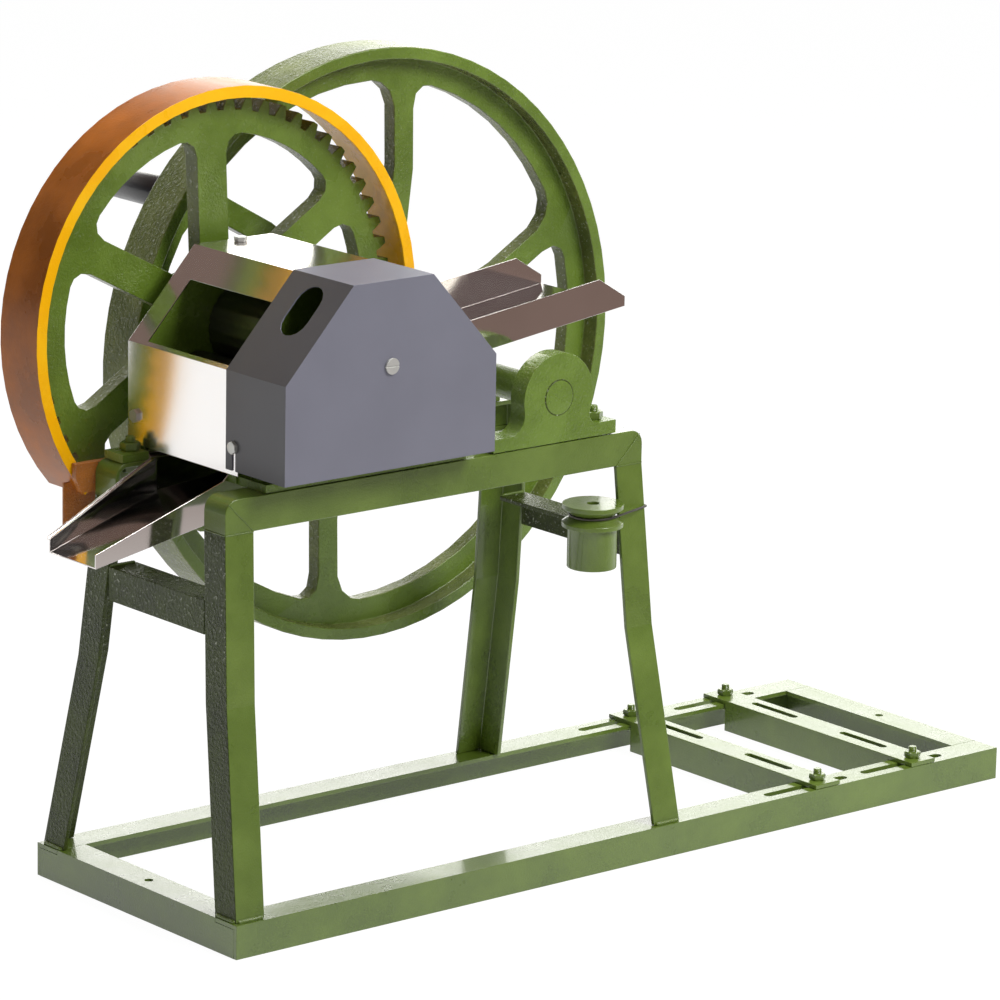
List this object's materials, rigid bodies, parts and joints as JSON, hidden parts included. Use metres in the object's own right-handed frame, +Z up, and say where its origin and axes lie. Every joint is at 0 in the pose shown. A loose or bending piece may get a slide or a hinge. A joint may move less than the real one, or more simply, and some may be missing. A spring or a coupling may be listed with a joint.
{
  "type": "sugarcane mill",
  "caption": "Sugarcane mill on an angle iron stand: crank flywheel, guarded spur gear, steel hood over rollers, feed chute, juice spout and sliding motor rails.",
  "frame": {"origin": "middle of the bounding box on the floor", "axes": "+X from the juice spout to the motor rails, +Y from the gear cover to the flywheel, +Z up"},
  "size_m": [1.223, 0.5976, 0.8832],
  "materials": {
    "green": "gloss paint on angle iron and the wheel",
    "cast_green": "glossy hammered paint",
    "yellow": "yellow enamel",
    "orange": "brown orange primer",
    "mirror": "mirror polished stainless sheet",
    "satin": "dark satin sheet",
    "zinc": "bright zinc plate",
    "bright": "turned and ground steel",
    "iron": "oiled iron",
    "bronze": "bearing bronze",
    "black": "smooth black plastic"
  },
  "bodies": {
    "mill_frame": {"base_far_rail": "green", "base_left_rail": "green", "base_near_rail": "green", "base_right_rail": "green", "cover_plug": "zinc", "far_bearing_bolt": "green", "far_cheek": "cast_green", "far_cheek_bolt_left": "green", "far_cheek_bolt_right": "green", "far_front_bush": "bronze", "far_left_leg": "cast_green", "far_rear_bush": "bronze", "far_right_leg": "green", "far_shaft_bearing": "green", "far_shaft_bush": "bronze", "far_top_bush": "bronze", "far_top_rail": "green", "feed_chute": "mirror", "gear_cover": "satin", "gear_guard": "yellow", "guard_bracket": "orange", "hood": "mirror", "hood_screw_side": "zinc", "hood_screw_top": "zinc", "juice_pan": "mirror", "left_tie": "cast_green", "motor_pulley": "green", "near_bearing_bolt": "green", "near_cheek": "cast_green", "near_cheek_bolt_left": "green", "near_cheek_bolt_right": "green", "near_front_bush": "bronze", "near_left_leg": "cast_green", "near_rear_bush": "bronze", "near_right_leg": "green", "near_shaft_bearing": "green", "near_shaft_bush": "bronze", "near_top_bush": "bronze", "near_top_rail": "green", "right_tie": "cast_green", "tie_wire": "zinc"},
    "flywheel_assembly": {"flywheel": "green", "flywheel_shaft": "bright", "pinion": "iron", "crank_bolt": "zinc"},
    "crank_handle": {"crank_grip": "black"},
    "top_roller_assembly": {"top_roller": "bright", "drive_gear": "cast_green", "drive_gear_key": "bright", "top_roller_gear": "iron"},
    "front_roller_assembly": {"front_roller": "bright", "front_roller_gear": "iron"},
    "rear_roller_assembly": {"rear_roller": "bright", "rear_roller_gear": "iron"},
    "left_motor_rail": {"motor_rail_left": "green", "motor_bolt_near_left": "green", "motor_bolt_far_left": "green"},
    "right_motor_rail": {"motor_rail_right": "green", "motor_bolt_near_right": "green", "motor_bolt_far_right": "green"}
  },
  "joints": [
    {"name": "flywheel_spin", "type": "hinge", "parent": "mill_frame", "child": "flywheel_assembly", "pos_m": [-0.0308, -0.09875, 0.5375], "axis": [0, 1, 0], "continuous": true},
    {"name": "top_roller_spin", "type": "hinge", "parent": "mill_frame", "child": "top_roller_assembly", "pos_m": [-0.3, -0.09875, 0.6145], "axis": [0, 1, 0], "continuous": true},
    {"name": "front_roller_spin", "type": "hinge", "parent": "mill_frame", "child": "front_roller_assembly", "pos_m": [-0.366, -0.09875, 0.55331], "axis": [0, 1, 0], "continuous": true},
    {"name": "rear_roller_spin", "type": "hinge", "parent": "mill_frame", "child": "rear_roller_assembly", "pos_m": [-0.234, -0.09875, 0.55331], "axis": [0, 1, 0], "continuous": true},
    {"name": "crank_grip_spin", "type": "hinge", "parent": "flywheel_assembly", "child": "crank_handle", "pos_m": [-0.26238, 0.13815, 0.72504], "axis": [0, 1, 0], "continuous": true},
    {"name": "motor_rail_left_slide", "type": "slide", "parent": "mill_frame", "child": "left_motor_rail", "axis": [1, 0, 0], "range_m": [-0.07, 0.035]},
    {"name": "motor_rail_right_slide", "type": "slide", "parent": "mill_frame", "child": "right_motor_rail", "axis": [1, 0, 0], "range_m": [-0.07, 0.035]}
  ],
  "couplings": [
    {"joint": "top_roller_spin", "follows": "flywheel_spin", "ratio": -0.16667},
    {"joint": "front_roller_spin", "follows": "flywheel_spin", "ratio": 0.20833},
    {"joint": "rear_roller_spin", "follows": "flywheel_spin", "ratio": 0.20833}
  ]
}
